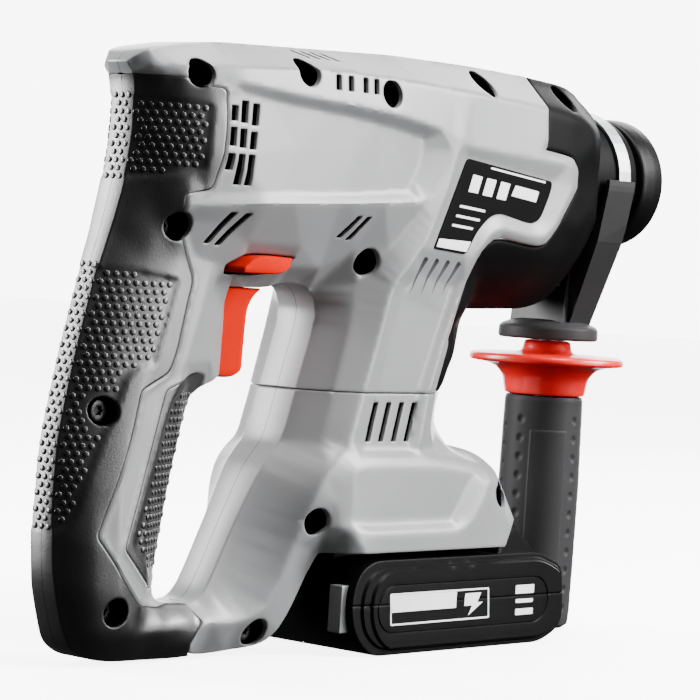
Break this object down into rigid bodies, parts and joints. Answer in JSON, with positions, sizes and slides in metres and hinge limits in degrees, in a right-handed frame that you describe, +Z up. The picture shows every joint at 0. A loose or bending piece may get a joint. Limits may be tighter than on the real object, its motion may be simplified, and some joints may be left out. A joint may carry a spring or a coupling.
{
  "type": "cordless rotary hammer",
  "caption": "Cordless D-handle rotary hammer with slide-on battery, side handle on a steel clamp band, rubber rear grip and a plug-in tool chuck.",
  "frame": {"origin": "under the middle of the bounding box, at the level of the battery's flat underside", "axes": "+X along the chuck axis towards the tool, +Z up, +Y to the tool's left; Y=0 is the parting plane of the housings"},
  "size_m": [0.3388, 0.0752, 0.2356],
  "materials": {
    "grey_plastic": "fine satin moulded grain",
    "black_plastic": "satin",
    "black_rubber": "soft overmould with round pimples",
    "red_gloss": "gloss",
    "orange_plastic": "smooth",
    "steel": "machined",
    "aluminium": "die cast",
    "stator_steel": "laminated core with enamelled windings",
    "board": "circuit board",
    "cell_wrap": "shrink-wrapped cell",
    "label": "printed film"
  },
  "bodies": {
    "tool": {"housing_right": "grey_plastic", "housing_left": "grey_plastic", "base_right": "grey_plastic", "base_left": "grey_plastic", "grip_rubber_right": "black_rubber", "grip_rubber_left": "black_rubber", "grip_front_right": "black_rubber", "grip_front_left": "black_rubber", "gear_housing": "black_plastic", "nameplate": "label", "front_bearing": "steel", "rear_bearing": "steel", "bearing_plate": "aluminium", "motor_stator": "stator_steel", "switch_body": "black_plastic", "battery_dock": "black_plastic", "control_board": "board", "screw_rear_top": "steel", "screw_top_middle": "steel", "screw_top_vent": "steel", "screw_grip_upper": "steel", "screw_column": "steel", "screw_grip_middle": "steel", "screw_grip_lower": "steel", "screw_arm_upper": "steel", "screw_arm_lower": "steel", "screw_foot_front": "steel", "screw_top_front": "steel", "screw_gear_housing": "steel"},
    "trigger": {"trigger": "orange_plastic"},
    "direction_lever": {"direction_lever": "orange_plastic"},
    "mode_selector": {"mode_selector": "black_plastic"},
    "spindle": {"hammer_tube": "steel", "spindle_gear": "steel", "chuck_ring": "steel", "dust_cap": "black_rubber"},
    "chuck_sleeve": {"chuck_sleeve": "black_plastic"},
    "striker": {"striker": "steel"},
    "impact_bolt": {"impact_bolt": "steel"},
    "piston": {"piston": "aluminium"},
    "wobble": {"wobble_drive": "steel"},
    "layshaft": {"layshaft": "steel"},
    "rotor": {"motor_rotor": "steel", "motor_fan": "black_plastic"},
    "side_bracket": {"side_handle_bracket": "black_plastic", "clamp_band": "steel", "bracket_disc": "black_plastic", "tension_bolt": "steel"},
    "side_grip": {"side_handle_guard": "red_gloss", "side_handle_grip": "black_rubber"},
    "battery": {"battery_case_upper": "black_plastic", "battery_case_lower": "black_plastic", "battery_board": "board", "cell_1": "cell_wrap", "cell_2": "cell_wrap", "cell_3": "cell_wrap", "cell_4": "cell_wrap", "cell_5": "cell_wrap"},
    "latch_right": {"latch_button_right": "grey_plastic"},
    "latch_left": {"latch_button_left": "grey_plastic"}
  },
  "joints": [
    {"name": "trigger_pull", "type": "slide", "parent": "tool", "child": "trigger", "axis": [-1, 0, 0], "range_m": [0, 0.006], "stiffness_N_per_m": 900, "springref_m": -0.004},
    {"name": "direction_slide", "type": "slide", "parent": "tool", "child": "direction_lever", "axis": [0, 1, 0], "range_m": [-0.003, 0.003]},
    {"name": "mode_turn", "type": "hinge", "parent": "tool", "child": "mode_selector", "pos_m": [0.05185, 0.035, 0.1845], "axis": [0, 1, 0], "range_deg": [-90, 45]},
    {"name": "spindle_turn", "type": "hinge", "parent": "tool", "child": "spindle", "pos_m": [0.09385, 0, 0.1943], "axis": [1, 0, 0], "continuous": true},
    {"name": "sleeve_pull", "type": "slide", "parent": "spindle", "child": "chuck_sleeve", "axis": [-1, 0, 0], "range_m": [0, 0.005], "stiffness_N_per_m": 900, "springref_m": -0.006},
    {"name": "striker_travel", "type": "slide", "parent": "spindle", "child": "striker", "axis": [1, 0, 0], "range_m": [-0.005, 0.003]},
    {"name": "impact_bolt_travel", "type": "slide", "parent": "spindle", "child": "impact_bolt", "axis": [1, 0, 0], "range_m": [0, 0.0012]},
    {"name": "wobble_swing", "type": "hinge", "parent": "tool", "child": "wobble", "pos_m": [0.00285, 0, 0.162], "axis": [0, 1, 0], "range_deg": [-8, 8]},
    {"name": "piston_travel", "type": "slide", "parent": "tool", "child": "piston", "axis": [1, 0, 0], "range_m": [-0.0045, 0.0045]},
    {"name": "layshaft_turn", "type": "hinge", "parent": "tool", "child": "layshaft", "pos_m": [0.02385, 0, 0.162], "axis": [1, 0, 0], "continuous": true},
    {"name": "rotor_turn", "type": "hinge", "parent": "tool", "child": "rotor", "pos_m": [-0.06615, 0, 0.181], "axis": [1, 0, 0], "continuous": true},
    {"name": "side_handle_swivel", "type": "hinge", "parent": "tool", "child": "side_bracket", "pos_m": [0.12385, 0, 0.1943], "axis": [1, 0, 0], "continuous": true},
    {"name": "side_grip_twist", "type": "hinge", "parent": "side_bracket", "child": "side_grip", "pos_m": [0.12075, 0, 0.06], "axis": [0, 0, 1], "continuous": true},
    {"name": "battery_slide", "type": "slide", "parent": "tool", "child": "battery", "axis": [1, 0, 0], "range_m": [0, 0.005]},
    {"name": "latch_right_press", "type": "slide", "parent": "battery", "child": "latch_right", "axis": [0, 1, 0], "range_m": [0, 0.002], "stiffness_N_per_m": 600, "springref_m": -0.002},
    {"name": "latch_left_press", "type": "slide", "parent": "battery", "child": "latch_left", "axis": [0, -1, 0], "range_m": [0, 0.002], "stiffness_N_per_m": 600, "springref_m": -0.002}
  ],
  "couplings": [
    {"joint": "layshaft_turn", "follows": "spindle_turn", "ratio": -2.0769},
    {"joint": "rotor_turn", "follows": "spindle_turn", "ratio": 7.7885},
    {"joint": "wobble_swing", "follows": "piston_travel", "rad_per_m": 30.96}
  ]
}
